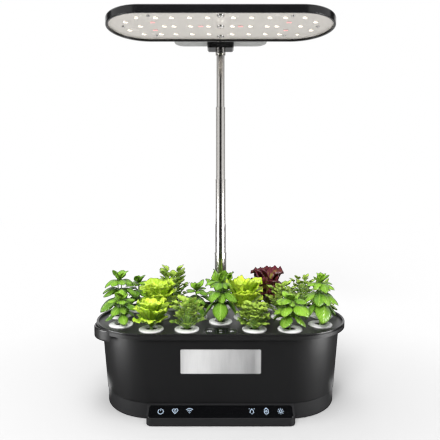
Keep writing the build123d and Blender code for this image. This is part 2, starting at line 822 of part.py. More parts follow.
def make_lamp_arm():
    """Flat steel T: a wide bar from the mast over the lamp's rear, and a tongue forwards."""
    back = mast_reach + arm_overhang
    bar = Pos(0, back - arm_bar_depth / 2) * RectangleRounded(arm_width, arm_bar_depth, arm_corner)
    tongue_length = back - arm_corner + arm_tongue_reach
    tongue = Pos(0, tongue_length / 2 - arm_tongue_reach) * RectangleRounded(
        arm_tongue_width, tongue_length, arm_corner
    )
    arm = extrude(Pos(0, 0, lamp_top) * (bar + tongue), arm_thickness)
    arm = chamfer(arm.edges().group_by(Axis.Z)[-1], arm_chamfer)
    for y in lamp_bolt_rows():
        arm -= rod(lamp_bolt_radius + snug, lamp_top, lamp_top + arm_thickness, 0, y)
    for x in (-arm_screw_spacing / 2, arm_screw_spacing / 2):
        arm -= arm_screw(x, snug)
    return arm


def lamp_bolt_rows():
    """Y of the three domed bolts along the lamp's middle."""
    return [lamp_centre_y + step * lamp_bolt_spacing for step in (-1, 0, 1)]


def lamp_screw_centres():
    """Centres of the six board screws."""
    return [(x, lamp_centre_y + y) for x, y in both_sides(lamp_screw_places)]


def arm_screw(x, gap):
    """A countersunk screw from the arm into the knuckle, grown by a gap."""
    top = lamp_top + arm_thickness
    cone_height = arm_screw_head_radius - arm_screw_radius
    cone = Pos(x, mast_reach, top - cone_height) * Cone(
        arm_screw_radius + gap, arm_screw_head_radius + gap, cone_height, align=up_min
    )
    return cone + rod(arm_screw_radius + gap, top - arm_screw_length, top, x, mast_reach)


def make_lamp_housing():
    """A shallow tray, open downwards, with bosses for its board's screws and bolts."""
    lamp = slab(lamp_length, lamp_depth, lamp_bottom, lamp_top)
    lamp = fillet(lamp.edges().group_by(Axis.Z)[-1], lamp_round)
    lamp = fillet(lamp.edges().group_by(Axis.Z)[0], lamp_edge_round)
    ceiling = lamp_top - lamp_top_wall
    lamp -= slab(lamp_length - 2 * lamp_rim, lamp_depth - 2 * lamp_rim, lamp_bottom, ceiling)
    lamp = Pos(0, lamp_centre_y, 0) * lamp
    for x, y in lamp_screw_centres():
        lamp += rod(lamp_boss_radius, led_board_top, ceiling, x, y)
        lamp -= rod(screw_radius + snug / 2, led_board_top, ceiling, x, y)
    for y in lamp_bolt_rows():
        lamp += rod(lamp_bolt_boss_radius, led_board_top, ceiling, 0, y)
        lamp -= rod(lamp_bolt_radius + snug, led_board_top, lamp_top, 0, y)
    return lamp


def led_places():
    """Centres of the LED chips, relative to the lamp's centre."""
    places = [(x, side * led_outer_row) for x in led_outer_x for side in (-1, 1)]
    places += [(x, 0.0) for x in led_middle_x]
    places += [(led_end[0], side * led_end[1]) for side in (-1, 1)]
    for x, y in led_pairs:
        places += [(x + half * led_pair_pitch / 2, y) for half in (-1, 1)]
    return both_sides(places)


def make_led_board():
    inset = lamp_rim + led_board_clearance
    board = slab(lamp_length - 2 * inset, lamp_depth - 2 * inset, led_board_bottom, led_board_top)
    for x, y in led_places():
        board += block(led_size, led_size, led_board_bottom - led_height, led_board_bottom, x, y)
    board = Pos(0, lamp_centre_y, 0) * board
    for x, y in lamp_screw_centres():
        board -= rod(screw_radius + snug, led_board_bottom, led_board_top, x, y)
    for y in lamp_bolt_rows():
        board -= rod(lamp_bolt_radius + snug, led_board_bottom, led_board_top, 0, y)
    return board


def make_lamp_fasteners():
    pieces = []
    for x, y in lamp_screw_centres():
        head = rod(screw_head_radius, led_board_bottom - screw_head_height, led_board_bottom, x, y)
        head = fillet(head.edges().group_by(Axis.Z)[0], lamp_screw_round)
        shank_top = lamp_top - lamp_top_wall - snug
        pieces.append(head + rod(screw_radius, led_board_bottom, shank_top, x, y))
    for y in lamp_bolt_rows():
        low = led_board_bottom - lamp_bolt_head_height
        head = rod(lamp_bolt_head_radius, low, led_board_bottom, 0, y)
        head = fillet(head.edges().group_by(Axis.Z)[0], lamp_bolt_head_height - lamp_bolt_edge)
        pieces.append(head + rod(lamp_bolt_radius, led_board_bottom, lamp_top + arm_thickness, 0, y))
    for x in (-arm_screw_spacing / 2, arm_screw_spacing / 2):
        pieces.append(arm_screw(x, 0))
    return pieces


# ---------------------------------------------------------------- write the pieces


def write(name, shape):
    """Writes one piece, or a list of like pieces, moved to the footprint's middle."""
    solids = []
    for item in shape if isinstance(shape, list) else [shape]:
        solids += item.solids()
    moved = [Pos(0, -footprint_middle_y, 0) * solid for solid in solids]
    whole = moved[0] if len(moved) == 1 else Compound(moved)
    export_step(whole, os.path.join("parts", name + ".step"))


def main():
    os.makedirs("parts", exist_ok=True)
    write("base_shell", make_base_shell())
    write("base_plate", make_base_plate())
    write("rubber_feet", make_rubber_feet())
    write("case_screws", make_case_screws())
    write("console_glass", make_console_glass())
    write("control_board", make_control_board())
    write("power_inlet", make_power_inlet())
    write("tank", make_tank())
    write("nameplate", make_nameplate())
    write("pump_body", make_pump_body())
    write("pump_impeller", make_pump_impeller())
    write("deck_lid", make_deck_lid())
    for index, side in enumerate(("left", "middle", "right")):
        write("button_" + side, make_button(index))
    for index in range(len(tube_tops) + 1):
        write(f"mast_tube_{index + 1}", make_mast_tube(index))
    write("mast_knuckle", make_mast_knuckle())
    write("lamp_arm", make_lamp_arm())
    write("lamp_housing", make_lamp_housing())
    write("led_board", make_led_board())
    write("lamp_fasteners", make_lamp_fasteners())
    for number, ((x, y), pod) in enumerate(zip(pod_places, pods), start=1):
        write(f"pod_{number:02d}", make_pod(x, y))
        write(f"plant_{number:02d}", make_plant(x, y, *pod[2:]))


main()
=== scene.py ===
import math
import random

import bmesh
import bpy
import numpy as np
from mathutils import Matrix, Vector


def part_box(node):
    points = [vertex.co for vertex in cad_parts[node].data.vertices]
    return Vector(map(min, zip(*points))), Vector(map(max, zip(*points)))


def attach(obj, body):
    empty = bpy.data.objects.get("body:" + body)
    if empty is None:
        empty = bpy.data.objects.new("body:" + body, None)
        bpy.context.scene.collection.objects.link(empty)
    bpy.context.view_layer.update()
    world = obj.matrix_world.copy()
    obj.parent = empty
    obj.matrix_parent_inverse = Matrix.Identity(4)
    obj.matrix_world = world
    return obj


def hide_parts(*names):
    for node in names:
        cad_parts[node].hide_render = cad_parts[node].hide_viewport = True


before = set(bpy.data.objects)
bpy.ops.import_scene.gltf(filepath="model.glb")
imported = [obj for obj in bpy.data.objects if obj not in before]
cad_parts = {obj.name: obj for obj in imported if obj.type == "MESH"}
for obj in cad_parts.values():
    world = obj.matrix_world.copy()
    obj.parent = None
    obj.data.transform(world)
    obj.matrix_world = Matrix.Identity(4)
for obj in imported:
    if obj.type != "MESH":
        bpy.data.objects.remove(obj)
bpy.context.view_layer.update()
mm = 0.001


# ------------------------------------------------------------------ studio
# A white room: a plain floor that keeps the shadow, soft boxes in front and overhead that light
# the object, and two at the sides that only draw highlights. Dark cards, upright and lying, are
# out of view and only show as reflections in metal and plastic.


class Signal:
    """A value on its way through a node tree. Sums written on it become Math nodes."""

    def __init__(self, nodes, socket):
        self.nodes = nodes
        self.socket = socket

    def sum(self, operation, first, second):
        return self.nodes.add("Math", {"operation": operation}, {0: first, 1: second})

    def __add__(self, other):
        return self.sum("ADD", self, other)

    def __sub__(self, other):
        return self.sum("SUBTRACT", self, other)

    def __mul__(self, other):
        return self.sum("MULTIPLY", self, other)

    def __gt__(self, other):
        return self.sum("GREATER_THAN", self, other)

    def __lt__(self, other):
        return self.sum("LESS_THAN", self, other)

    def __abs__(self):
        return self.sum("ABSOLUTE", self, 0.0)


class Nodes:
    """A node tree; add() makes any node and gives one of its outputs."""

    def __init__(self, tree):
        self.tree = tree

    def feed(self, socket, value):
        if isinstance(value, Signal):
            self.tree.links.new(value.socket, socket)
        else:
            socket.default_value = value

    def add(self, kind, settings=None, inputs=None, output=0):
        node = self.tree.nodes.new("ShaderNode" + kind)
        for name, value in (settings or {}).items():
            setattr(node, name, value)
        for name, value in (inputs or {}).items():
            self.feed(node.inputs[name], value)
        return Signal(self, node.outputs[output])


scene = bpy.context.scene
scene.view_settings.view_transform = "Standard"

lens = 35.16
eye = (-0.00106, -0.75595, 0.3596)
look_down = 3.78  # degrees below level
camera_data = bpy.data.cameras.new("camera")
camera_data.lens = lens
camera = bpy.data.objects.new("camera", camera_data)
camera.location = eye
camera.rotation_euler = (math.radians(90 - look_down), 0, 0)
scene.collection.objects.link(camera)
scene.camera = camera

room_light = 0.5  # what falls on the object from all round; what the eye sees is white
world = bpy.data.worlds.new("white_room")
world.use_nodes = True
scene.world = world
room = Nodes(world.node_tree)
seen = room.add("LightPath", output="Is Camera Ray")
glossy = room.add("LightPath", output="Is Glossy Ray")
through = room.add("LightPath", output="Is Transmission Ray")
direct = room.add("Math", {"operation": "MAXIMUM"}, {0: seen, 1: glossy})
direct = room.add("Math", {"operation": "MAXIMUM"}, {0: direct, 1: through})
background = world.node_tree.nodes["Background"]
background.inputs["Color"].default_value = (1, 1, 1, 1)
room.feed(background.inputs["Strength"], direct * (1 - room_light) + room_light)


def soft_box(name, place, aim, width, height, watts, only_gloss=False):
    """A rectangular lamp that faces a point. It lights matt surfaces, or only glossy ones."""
    data = bpy.data.lights.new(name, "AREA")
    data.shape = "RECTANGLE"
    data.size = width
    data.size_y = height
    data.energy = watts
    lamp = bpy.data.objects.new(name, data)
    lamp.location = place
    lamp.rotation_euler = (Vector(aim) - Vector(place)).to_track_quat("-Z", "Y").to_euler()
    lamp.visible_glossy = only_gloss
    lamp.visible_diffuse = not only_gloss
    scene.collection.objects.link(lamp)


soft_box("left_box", (-0.8, -0.3, 0.14), (-0.2, 0, 0.1), 0.4, 0.26, 5.0, only_gloss=True)
soft_box("right_box", (0.8, -0.3, 0.14), (0.2, 0, 0.1), 0.4, 0.26, 8.0, only_gloss=True)
soft_box("front_box", (-0.35, -1.5, 1.45), (0, 0, 0.15), 0.9, 0.7, 38.0)
soft_box("top_box", (-0.1, -0.1, 1.7), (0, 0, 0.1), 1.2, 0.9, 25.0)


def matt_paint(name, grey, specular):
    """Plain matt grey for what only stands round the object."""
    paint = bpy.data.materials.new(name)
    paint.use_nodes = True
    shader = paint.node_tree.nodes["Principled BSDF"]
    shader.inputs["Base Color"].default_value = (grey, grey, grey, 1)
    shader.inputs["Roughness"].default_value = 1.0
    shader.inputs["Specular IOR Level"].default_value = specular
    return paint


bpy.ops.object.select_all(action="DESELECT")
bpy.ops.mesh.primitive_plane_add(size=8.0, location=(0, 0, -0.0002))
floor = bpy.context.object
floor.name = "floor"
floor.is_shadow_catcher = True
floor.data.materials.append(matt_paint("floor_paint", 0.82, specular=0.0))

card_paint = matt_paint("card_paint", 0.012, specular=0.5)


def dark_card(name, place, aim, width, height):
    """A black card that only reflections see."""
    bpy.ops.object.select_all(action="DESELECT")
    bpy.ops.mesh.primitive_plane_add(size=1.0)
    card = bpy.context.object
    card.name = name
    card.scale = (width, height, 1)
    card.location = place
    card.rotation_euler = (Vector(aim) - Vector(place)).to_track_quat("-Z", "Y").to_euler()
    card.data.materials.append(card_paint)
    card.visible_camera = False
    card.visible_diffuse = False
    card.visible_transmission = False
    card.visible_shadow = False


dark_card("front_card", (0, -2.0, 1.2), (0, 0, 1.2), 2.2, 3.4)
dark_card("ceiling_card", (0, 0, 2.5), (0, 0, 0), 3.0, 2.8)
dark_card("near_card", (0, -0.17, 0.0001), (0, -0.17, -1), 0.84, 0.3)
dark_card("far_card", (0, -1.15, 0.0001), (0, -1.15, -1), 3.2, 1.66)
for side in (-1, 1):
    dark_card(f"side_card_{side + 1}", (side * 1.7, 0.75, 0.6), (0, 0, 0.3), 0.9, 2.2)
    dark_card(f"back_card_{side + 1}", (side * 0.85, 0.48, 0.0001), (side * 0.85, 0.48, -1), 1.2, 1.1)


# ------------------------------------------------------------------ base
# Moulded black ABS with a fine spark texture: the shell with its console, the plate that
# closes it from below, four-way rubber feet and pan-head screws in steel.


class Finish(Nodes):
    """A material: its Principled shader, and the nodes that feed it."""

    def __init__(self, name, **constants):
        self.material = bpy.data.materials.new(name)
        self.material.use_nodes = True
        super().__init__(self.material.node_tree)
        self.shader = self.tree.nodes["Principled BSDF"]
        self.place = self.add("TexCoord", output="Object")
        self.set(**constants)

    def set(self, **inputs):
        for name, value in inputs.items():
            if isinstance(value, tuple) and len(value) == 3:
                value = (*value, 1.0)
            self.feed(self.shader.inputs[name.replace("_", " ")], value)

    def noise(self, scale, detail=2.0, stretch=(1, 1, 1)):
        """Cloudy noise from 0 to 1, with that many clouds per metre."""
        place = self.place
        if stretch != (1, 1, 1):
            place = self.add("Mapping", inputs={"Vector": self.place, "Scale": stretch})
        return self.add("TexNoise", inputs={"Vector": place, "Scale": scale, "Detail": detail})

    def axis(self, letter):
        """One coordinate of the place, in metres."""
        return self.add("SeparateXYZ", inputs={0: self.place}, output=letter)

    def blend(self, share, first, second):
        """A colour between two, each a colour or a signal."""
        pair = [(*c, 1.0) if isinstance(c, tuple) else c for c in (first, second)]
        return self.add(
            "Mix", {"data_type": "RGBA"}, {"Factor": share, 6: pair[0], 7: pair[1]}, output=2
        )

    def raise_by(self, height, distance):
        """Feeds a height, worth that distance in metres, to the surface."""
        self.set(Normal=self.add("Bump", inputs={"Height": height, "Distance": distance, "Strength": 1.0}))


def clothe(finish, *names):
    """Gives CAD nodes their finish."""
    for name in names:
        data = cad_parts[name].data
        data.materials.clear()
        data.materials.append(finish.material)


def moulded_plastic(name, colour, roughness, grain, worn=0.06, specular=0.5):
    """Moulded plastic: spark-eroded grain, faint unevenness in colour and gloss."""
    finish = Finish(name, Specular_IOR_Level=specular)
    clouds = finish.noise(14.0, 3.0)
    lighter = tuple(min(1.0, c * 1.18 + 0.001) for c in colour)
    finish.set(Base_Color=finish.blend(clouds, colour, lighter))
    finish.set(Roughness=clouds * worn + finish.noise(260.0) * worn + (roughness - worn))
    finish.raise_by(finish.noise(1500.0, 1.0), grain)
    return finish


base_plastic = moulded_plastic("base_plastic", (0.013, 0.013, 0.014), 0.44, 0.00003, specular=0.4)
clothe(base_plastic, "base_shell", "base_plate")

foot_rubber = moulded_plastic("foot_rubber", (0.011, 0.011, 0.011), 0.78, 0.00005)
clothe(foot_rubber, "rubber_feet")

screw_steel = Finish("screw_steel", Metallic=1.0)
turned = screw_steel.noise(900.0, 2.0)
screw_steel.set(
    Base_Color=screw_steel.blend(turned, (0.42, 0.41, 0.40), (0.62, 0.61, 0.60)),
    Roughness=turned * 0.12 + 0.2,
)
clothe(screw_steel, "case_screws", "lamp_fasteners")

circuit_board = Finish("circuit_board", Roughness=0.45)
laminate_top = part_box("control_board")[0].z + 1.7 * mm
waves_across = {"Vector": circuit_board.place, "Scale": 190.0, "Distortion": 6.0, "Detail": 1.0}
copper_line = abs(circuit_board.add("TexWave", {"bands_direction": "X"}, waves_across) - 0.5) < 0.09
lacquer = circuit_board.blend(copper_line, (0.012, 0.085, 0.035), (0.05, 0.2, 0.07))
above_laminate = circuit_board.axis("Z") > laminate_top
circuit_board.set(Base_Color=circuit_board.blend(above_laminate, lacquer, (0.02, 0.02, 0.022)))
clothe(circuit_board, "control_board")

inlet_plastic = Finish("inlet_plastic", Specular_IOR_Level=0.5)
inlet_low, inlet_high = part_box("power_inlet")
inlet_x = (inlet_low.x + inlet_high.x) / 2
inlet_z = (inlet_low.z + inlet_high.z) / 2
away_x = abs(inlet_plastic.axis("X") - inlet_x)
away_z = abs(inlet_plastic.axis("Z") - inlet_z)
pin_reach = 1.15 * mm
pin = (away_x < pin_reach) * (away_z < pin_reach)
inlet_plastic.set(
    Base_Color=inlet_plastic.blend(pin, (0.012, 0.012, 0.013), (0.75, 0.72, 0.65)),
    Metallic=pin,
    Roughness=inlet_plastic.noise(300.0) * 0.1 + 0.3,
)
clothe(inlet_plastic, "power_inlet")


# ------------------------------------------------------------------ console glass and symbols
# Glossy black glass let into the console's slope, with six lit symbols behind it: power,
# nutrients, wireless, alarm, pump and light. They stand as thin lit shapes on its surface.

console_glass = Finish("console_glass", Specular_IOR_Level=0.42, Coat_Weight=0.3, Coat_Roughness=0.03)
smoke = console_glass.noise(20.0)
console_glass.set(
    Base_Color=console_glass.blend(smoke, (0.0016, 0.0017, 0.002), (0.0030, 0.0031, 0.0036)),
    Roughness=console_glass.noise(60.0, 3.0) * 0.05 + 0.05,
)
clothe(console_glass, "console_glass")

glass_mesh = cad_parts["console_glass"].data
glass_face = max((face for face in glass_mesh.polygons if face.normal.z > 0.5), key=lambda face: face.area)
glass_tilt = math.atan2(-glass_face.normal.y, glass_face.normal.z)
glass_points = [v.co for v in glass_mesh.vertices]
glass_y = (min(p.y for p in glass_points) + max(p.y for p in glass_points)) / 2
glass_z = glass_face.center.z + (glass_y - glass_face.center.y) * math.tan(glass_tilt)
glass_middle = Vector((0, glass_y, glass_z))

symbol_glow = Finish("symbol_glow", Base_Color=(0.10, 0.12, 0.15), Roughness=0.4, Emission_Strength=1.9)
flicker = symbol_glow.noise(400.0)
symbol_glow.set(Emission_Color=symbol_glow.blend(flicker, (0.50, 0.66, 0.86), (0.66, 0.80, 0.95)))
flatness = 0.14  # thickness of a raised line as a share of its width
seat_gap = 0.02 * mm  # between a surface and what lies on it


def stroke(points, closed=False):
    """One line of a symbol, through points in millimetres."""
    return {"points": points, "closed": closed}


def arc(centre, radius, start, end, steps=14):
    """Points on part of a circle, from one angle to another in degrees."""
    angles = [math.radians(start + (end - start) * i / steps) for i in range(steps + 1)]
    return [(centre[0] + radius * math.cos(a), centre[1] + radius * math.sin(a)) for a in angles]


def add_line(curve, points, closed=True):
    """Adds a line through points, in metres, to a curve."""
    spline = curve.splines.new("POLY")
    spline.points.add(len(points) - 1)
    for point, (x, y) in zip(spline.points, points):
        point.co = (x, y, 0, 1)
    spline.use_cyclic_u = closed


def meshed(name, curve, finish):
    """A curve made into a mesh object in its finish."""
    drawn_object = bpy.data.objects.new(name, curve)
    scene.collection.objects.link(drawn_object)
    bpy.ops.object.select_all(action="DESELECT")
    drawn_object.select_set(True)
    bpy.context.view_layer.objects.active = drawn_object
    bpy.ops.object.convert(target="MESH")
    drawn_object = bpy.context.object
    drawn_object.data.materials.clear()
    drawn_object.data.materials.append(finish.material)
    return drawn_object


def make_symbol(name, strokes, weight, place, finish):
    """Strokes as one flat raised line drawing; place takes the drawing's plane to its seat."""
    drawing = bpy.data.curves.new(name, "CURVE")
    drawing.dimensions = "3D"
    drawing.bevel_depth = weight / 2 * mm
    drawing.bevel_resolution = 1
    for line in strokes:
        add_line(drawing, [(x * mm, y * mm) for x, y in line["points"]], line["closed"])
    symbol = meshed(name, drawing, finish)
    symbol.data.transform(place @ Matrix.Diagonal((1, 1, flatness, 1)))
    return symbol


def mirrored(half):
    """A line from its left half, given from bottom to top, and the same on the right."""
    return half + [(-x, y) for x, y in reversed(half) if x]


heart = mirrored([(0, -4.2), (-3.9, 0.2), (-4.3, 2.6), (-2.6, 4.2), (-0.6, 3.4), (0, 2.2)])
bell = mirrored([(-1.7, -2.6), (-3.2, -2.4), (-2.5, -0.6), (-2.2, 1.4), (-1.2, 2.7), (0, 3.1)])
lamp_ring = arc((0, 0), 2.1, 0, 360, 18)
ray_angles = [math.radians(45 * i) for i in range(8)]
rays = [[(r * math.cos(a), r * math.sin(a)) for r in (3.4, 5.0)] for a in ray_angles]
symbols = {
    "power": [stroke(arc((0, -0.4), 4.1, 122, 418, 24)), stroke([(0, 0.6), (0, 4.8)])],
    "nutrients": [
        stroke(heart, True),
        stroke([(-1.6, 1.6), (0, -0.6), (1.6, 1.6)]),
        stroke([(0, -0.6), (0, -3.0)]),
    ],
    "wireless": [
        stroke(arc((0, -3.6), 8.0, 50, 130)),
        stroke(arc((0, -3.6), 5.2, 50, 130)),
        stroke(arc((0, -3.6), 2.4, 50, 130, 6)),
        stroke([(0, -3.6), (0, -2.9)]),
    ],
    "alarm": [
        stroke(bell),
        stroke([(-1.0, -4.0), (1.0, -4.0)]),
        stroke([(-3.4, 3.6), (-4.4, 4.6)]),
        stroke([(3.4, 3.6), (4.4, 4.6)]),
        stroke([(0, 4.3), (0, 5.2)]),
    ],
    "pump": [
        stroke(arc((0, 1.4), 3.0, 0, 180) + arc((0, -1.6), 3.0, 180, 360), True),
        stroke(arc((0, -0.2), 1.3, 0, 360, 12), True),
        stroke([(-1.2, 5.2), (1.2, 5.2)]),
    ],
    "light": [stroke(lamp_ring, True)] + [stroke(ray) for ray in rays],
}
symbol_weight = 0.45
symbol_spread = (93.2, 70.9, 48.5)
symbol_places = [-x for x in symbol_spread] + list(reversed(symbol_spread))
for (name, strokes), x in zip(symbols.items(), symbol_places):
    middle = glass_middle + Vector((x * mm, 0, seat_gap))
    seat = Matrix.Translation(middle) @ Matrix.Rotation(glass_tilt, 4, "X")
    symbol = make_symbol("symbol_" + name, strokes, symbol_weight, seat, symbol_glow)
    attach(symbol, "base")


# ------------------------------------------------------------------ tank, plate and pump
# The tank is moulded in matte black; a thin brushed aluminium plate is bonded into its
# front, its colour carrying broad painted reflection bands as well as its grain, and a small pump stands on
# suction cups on its floor.

tank_plastic = moulded_plastic("tank_plastic", (0.0055, 0.0055, 0.006), 0.34, 0.00002, specular=0.9)
clothe(tank_plastic, "tank")

plate_aluminium = Finish("plate_aluminium")
brushing = plate_aluminium.noise(900.0, 3.0, (1, 1, 0.06))
# Broad bands of painted reflection, lighter and darker across the plate, fed into its colour and metalness;
# only the fine brushing is the plate's own grain.
painted_reflection_bands = (plate_aluminium.noise(30.0, 2.0, (1, 0.1, 0.12)) - 0.32) * 2.4
grain_and_painted_bands = brushing * 0.35 + painted_reflection_bands * 0.65
plate_aluminium.set(
    Base_Color=plate_aluminium.blend(grain_and_painted_bands, (0.58, 0.58, 0.575), (0.36, 0.36, 0.365)),
    Metallic=painted_reflection_bands * 0.45 + 0.05,
    Roughness=brushing * 0.16 + 0.3,
)
plate_aluminium.raise_by(brushing, 0.00001)
clothe(plate_aluminium, "nameplate")

pump_plastic = moulded_plastic("pump_plastic", (0.02, 0.021, 0.023), 0.4, 0.00002)
clothe(pump_plastic, "pump_body")
impeller_plastic = moulded_plastic("impeller_plastic", (0.55, 0.57, 0.6), 0.35, 0.00001)
clothe(impeller_plastic, "pump_impeller")


# ------------------------------------------------------------------ deck and keypad
# The deck is the tank's lid, in charcoal plastic. A glossy black facing lies in its recess
# round three keys, each with a pale printed mark.

deck_plastic = moulded_plastic("deck_plastic", (0.009, 0.0088, 0.009), 0.38, 0.00003, specular=0.5)
deck_clouds = deck_plastic.noise(14.0, 3.0)
rim_depth = 2.4 * mm  # the glossier band, down from the collars' tops
rim = deck_plastic.axis("Z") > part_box("pod_01")[1].z - rim_depth
deck_plastic.set(Roughness=deck_clouds * 0.06 + 0.34 - rim * 0.2)
clothe(deck_plastic, "deck_lid")

button_plastic = Finish("button_plastic", Specular_IOR_Level=0.5)
touched = button_plastic.noise(80.0)
button_plastic.set(
    Base_Color=button_plastic.blend(touched, (0.004, 0.004, 0.0045), (0.008, 0.008, 0.009)),
    Roughness=button_plastic.noise(150.0, 3.0) * 0.06 + 0.14,
)
clothe(button_plastic, "button_left", "button_middle", "button_right")

collar_height = 3.0 * mm
pod_low, pod_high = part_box("pod_01")
deck_surface = pod_high.z - collar_height
keypad_size = (56.6 * mm, 33.6 * mm)
keypad_recess = 1.0 * mm
facing_thickness = 0.85 * mm
facing_edge = 0.1 * mm
key_gap = 0.35 * mm


def rounded_box(low, high, radius, grow):
    """Outline of a rectangle with round corners, grown by a gap."""
    corners = ((high.x, high.y, 0), (low.x, high.y, 90), (low.x, low.y, 180), (high.x, low.y, 270))
    middle_x, middle_y = (low.x + high.x) / 2, (low.y + high.y) / 2
    points = []
    for x, y, turn in corners:
        inner = (x - math.copysign(radius, x - middle_x), y - math.copysign(radius, y - middle_y))
        points += arc(inner, radius + grow, turn, turn + 90, 10)
    return points


key_boxes = {side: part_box("button_" + side) for side in ("left", "middle", "right")}
key_y = (key_boxes["middle"][0].y + key_boxes["middle"][1].y) / 2
facing_curve = bpy.data.curves.new("keypad_facing", "CURVE")
facing_curve.dimensions = "2D"
facing_curve.fill_mode = "BOTH"
facing_curve.extrude = facing_thickness / 2 - facing_edge
facing_curve.bevel_depth = facing_edge
facing_curve.bevel_resolution = 2
half_length, end_radius = keypad_size[0] / 2, keypad_size[1] / 2
facing_low = Vector((-half_length + facing_edge, key_y - end_radius + facing_edge))
facing_high = Vector((half_length - facing_edge, key_y + end_radius - facing_edge))
add_line(facing_curve, rounded_box(facing_low, facing_high, end_radius - 2 * facing_edge, 0))
for side, (low, high) in key_boxes.items():
    corner = 3.0 * mm if side == "middle" else (high.x - low.x) / 2 - 0.01 * mm
    add_line(facing_curve, rounded_box(low, high, corner, key_gap))
facing = meshed("keypad_facing", facing_curve, button_plastic)
facing_height = deck_surface - keypad_recess + facing_thickness / 2 + seat_gap
facing.data.transform(Matrix.Translation((0, 0, facing_height)))
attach(facing, "lid")

mark_print = Finish("mark_print", Roughness=0.5)
mark_print.set(Base_Color=mark_print.blend(mark_print.noise(500.0), (0.70, 0.71, 0.72), (0.82, 0.83, 0.84)))
key_marks = {
    "left": [
        stroke(arc((0, 0), 3.3, -60, 240, 20)),
        stroke([(-1.5, -0.5), (0, 1.2), (1.5, -0.5)]),
        stroke([(0, 1.2), (0, -2.6)]),
    ],
    "middle": [stroke([(-2.6, 5.4), (2.6, 5.4)]), stroke([(-2.6, -5.4), (2.6, -5.4)])],
    "right": [
        stroke([(-3.2, -2.2), (-0.4, -0.4), (3.4, -0.2)]),
        stroke([(-0.4, -0.4), (-0.6, 2.2), (2.8, 3.0)]),
        stroke([(-3.0, 0.6), (-1.6, 1.0)]),
    ],
}
mark_weight = 1.1
for side, strokes in key_marks.items():
    low, high = key_boxes[side]
    seat = Matrix.Translation(((low.x + high.x) / 2, key_y, high.z + 0.01 * mm))
    mark = make_symbol("mark_" + side, strokes, mark_weight, seat, mark_print)
    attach(mark, side + "_key")


# ------------------------------------------------------------------ mast
# Four stainless tubes that slide in one another, drawn and polished, so their grain runs
# lengthwise; a bright lip ends each tube. Knuckle in black plastic, arm in painted steel.

mast_steel = Finish("mast_steel", Metallic=1.0)
drawn = mast_steel.noise(900.0, 1.0, (1, 1, 0.01))
mast_steel.set(
    Base_Color=mast_steel.blend(drawn, (0.52, 0.50, 0.475), (0.62, 0.60, 0.575)),
    Roughness=drawn * 0.03 + 0.17,
)
clothe(mast_steel, "mast_tube_1", "mast_tube_2", "mast_tube_3", "mast_tube_4")

knuckle_plastic = moulded_plastic("knuckle_plastic", (0.004, 0.004, 0.0045), 0.2, 0.00001, specular=0.4)
clothe(knuckle_plastic, "mast_knuckle")

arm_paint = moulded_plastic("arm_paint", (0.30, 0.30, 0.30), 0.42, 0.00002)
clothe(arm_paint, "lamp_arm")


# ------------------------------------------------------------------ lamp
# A shallow black tray holds an off-white lacquered board. Each chip has a low lens in the board's colour,
# whose glow fades out from the chip as a painted halo of light on the board; most glow warm white, and the
# close pairs glow red.

lamp_plastic = moulded_plastic("lamp_plastic", (0.005, 0.005, 0.0055), 0.2, 0.00001, specular=0.4)
clothe(lamp_plastic, "lamp_housing")

board_lacquer = Finish("board_lacquer", Specular_IOR_Level=0.5, Coat_Weight=0.4, Coat_Roughness=0.08)
mottle = board_lacquer.noise(30.0, 3.0)
board_lacquer.set(
    Base_Color=board_lacquer.blend(mottle, (0.53, 0.495, 0.46), (0.60, 0.565, 0.53)),
    Roughness=mottle * 0.08 + 0.22,
)
clothe(board_lacquer, "led_board")

board_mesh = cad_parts["led_board"].data
chip_face_z = min(v.co.z for v in board_mesh.vertices)
corners = [v.co for v in board_mesh.vertices if v.co.z < chip_face_z + 0.05 * mm]
chip_reach = 5.2 * mm  # corners nearer to one another than this are one chip's
chips = []
for corner in corners:
    near = [chip for chip in chips if (chip[0] - corner.xy).length < chip_reach]
    if near:
        near[0].append(corner.xy.copy())
    else:
        chips.append([corner.xy.copy()])
chip_centres = [(Vector(map(min, zip(*chip))) + Vector(map(max, zip(*chip)))) / 2 for chip in chips]

lens_colour = (0.565, 0.53, 0.495)
lens_rise = 0.1 * mm  # of a lens's middle above the chip's face
lens_flatness = 0.14


def glow_finish(name, colour, strength):
    """Lens over a chip in the board's colour: bright in the middle, its glow fading outwards as a painted
    halo of light on the board.
    """
    finish = Finish(name, Base_Color=lens_colour, Roughness=0.3, Emission_Strength=strength)
    glow = finish.add("Attribute", {"attribute_name": "glow"}, output="Fac")
    finish.set(Emission_Color=finish.blend(glow, (0.0, 0.0, 0.0), colour))
    return finish


white_glow = glow_finish("white_glow", (1.0, 0.90, 0.76), 6.0)
red_glow = glow_finish("red_glow", (1.0, 0.10, 0.14), 2.6)


def make_lenses(name, centres, radius, core, finish):
    """Low lenses, one under each chip, as one piece; core is the reach of the glow, which spreads past the
    chip as a painted halo.
    """
    whole = bmesh.new()
    glows = []
    for centre in centres:
        middle = Matrix.Translation((centre.x, centre.y, chip_face_z + lens_rise))
        place = middle @ Matrix.Diagonal((1, 1, lens_flatness, 1))
        lens = bmesh.ops.create_uvsphere(whole, u_segments=16, v_segments=14, radius=radius, matrix=place)
        # Painted halo: emission falls off with distance from the chip across the whole lens, painting the
        # chip's light onto the board around it.
        glows += [math.exp(-(((v.co.xy - centre).length / core) ** 2)) for v in lens["verts"]]
    data = bpy.data.meshes.new(name)
    whole.to_mesh(data)
    whole.free()
    data.attributes.new("glow", "FLOAT", "POINT").data.foreach_set("value", glows)
    data.polygons.foreach_set("use_smooth", [True] * len(data.polygons))
    data.materials.append(finish.material)
    lenses = bpy.data.objects.new(name, data)
    scene.collection.objects.link(lenses)
    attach(lenses, "lamp_head")


